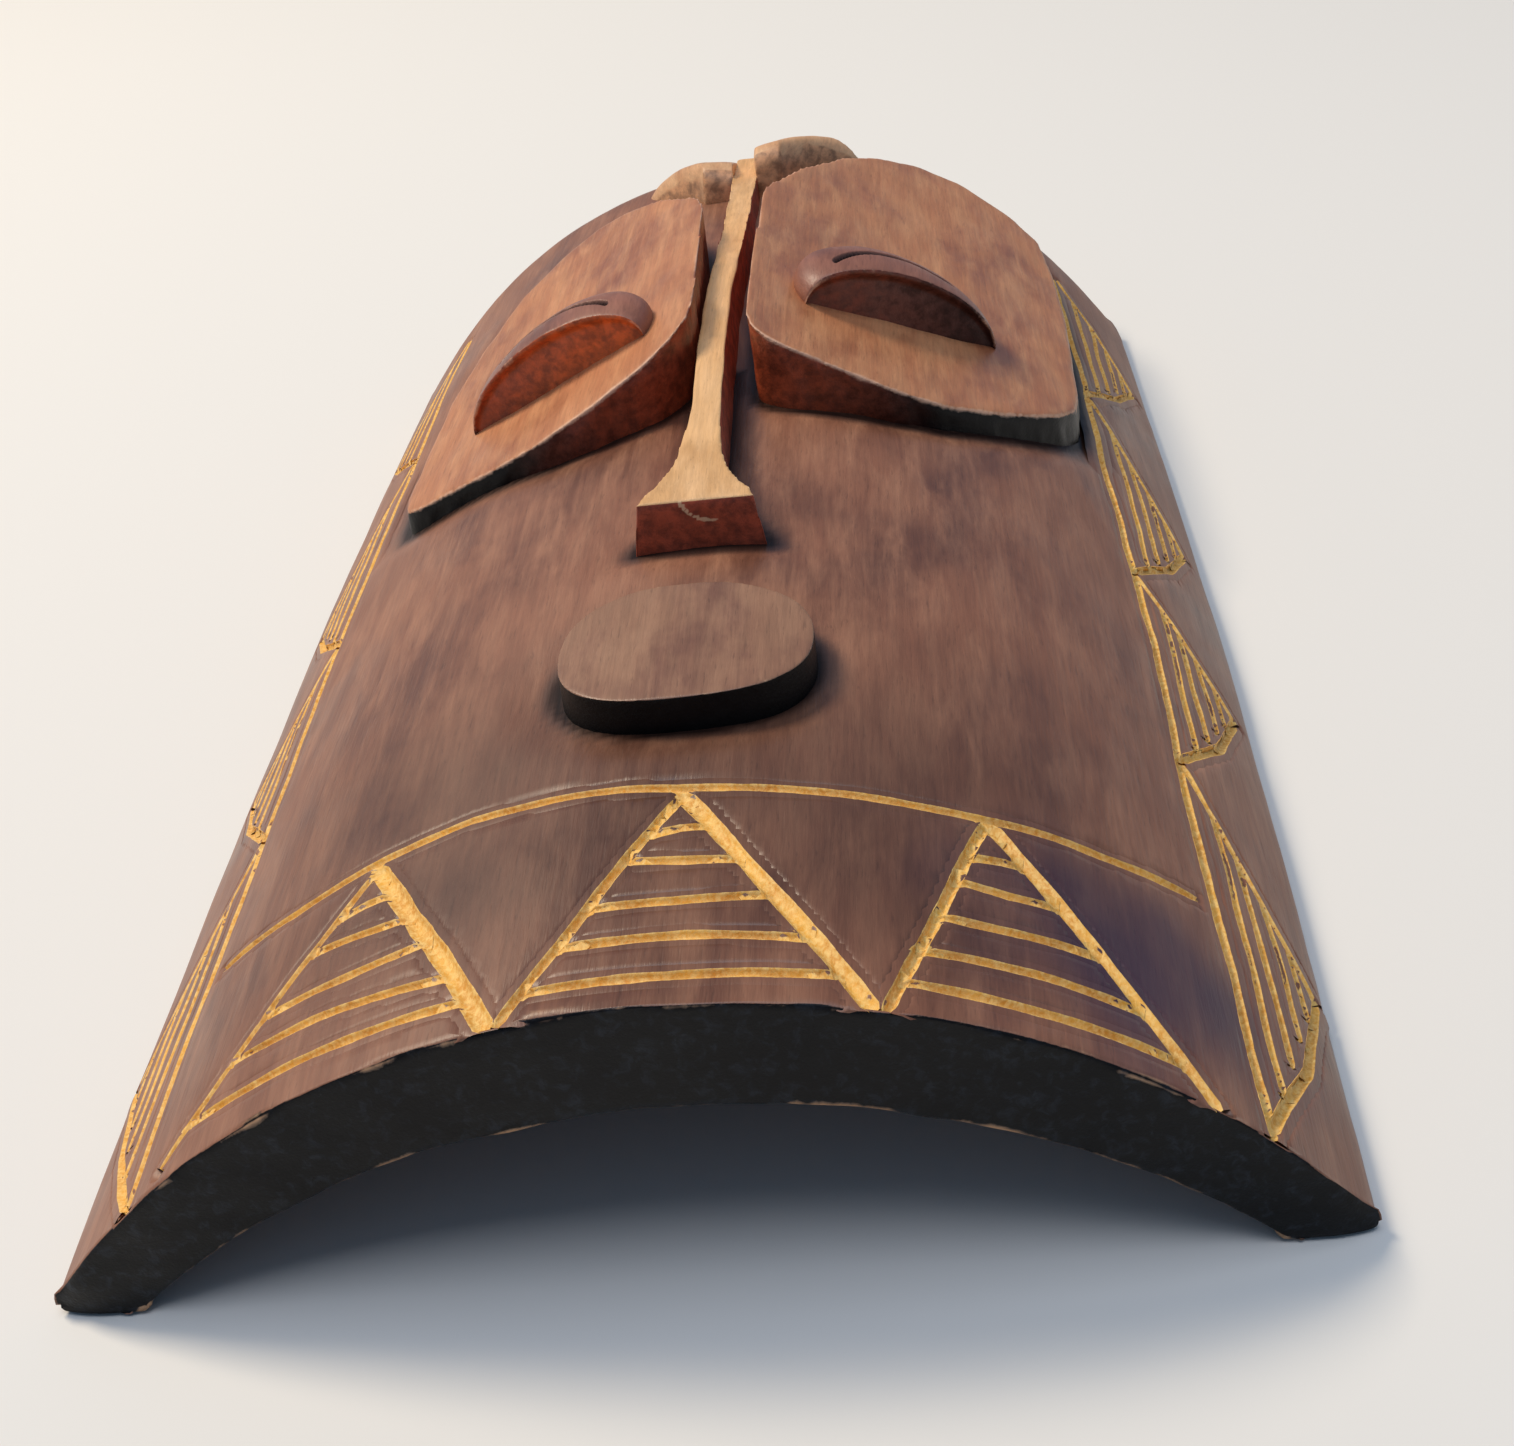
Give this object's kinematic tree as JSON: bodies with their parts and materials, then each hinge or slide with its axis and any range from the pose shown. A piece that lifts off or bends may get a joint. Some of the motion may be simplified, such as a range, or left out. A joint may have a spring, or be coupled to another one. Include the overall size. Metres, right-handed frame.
{
  "type": "carved wall mask",
  "caption": "Long bowed wooden wall mask with an open back, raised eye plates, closed lids, a narrow nose ridge, an oval mouth, gouged borders and a swinging hanger ring.",
  "frame": {"origin": "middle of the bounding box on the plane the rim rests on", "axes": "+X across the face to the side with the higher crest lobe, +Y from the chin to the crown, +Z out of the face"},
  "size_m": [0.2074, 0.4, 0.073],
  "materials": {
    "stained_wood": "dark brown stain, worn satin",
    "plate_wood": "lighter pinkish-brown stain, worn edges",
    "pale_wood": "bare pale wood, rubbed",
    "crest_wood": "thin olive-brown stain",
    "gouged_wood": "raw yellow wood cut by a gouge",
    "hanger_steel": "nickel-plated, dull",
    "screw_brass": "brassed pan-head"
  },
  "bodies": {
    "mask": {"mask_shell": "stained_wood", "eye_plate_left": "plate_wood", "eye_plate_right": "plate_wood", "eyelid_left": "plate_wood", "eyelid_right": "plate_wood", "nose_ridge": "pale_wood", "mouth_plate": "stained_wood", "crest_left": "crest_wood", "crest_right": "crest_wood", "chin_arch_line": "gouged_wood", "chin_triangle_left": "gouged_wood", "chin_triangle_middle": "gouged_wood", "chin_triangle_right": "gouged_wood", "side_line_left": "gouged_wood", "side_line_right": "gouged_wood", "side_triangles_left": "gouged_wood", "side_triangles_right": "gouged_wood", "hanger_strap": "hanger_steel", "hanger_screws": "screw_brass"},
    "ring": {"hanger_ring": "hanger_steel"}
  },
  "joints": [
    {"name": "ring_swing", "type": "hinge", "parent": "mask", "child": "ring", "pos_m": [0, 0.12195, 0.03371], "axis": [1, 0, 0], "range_deg": [-55, 80]}
  ]
}
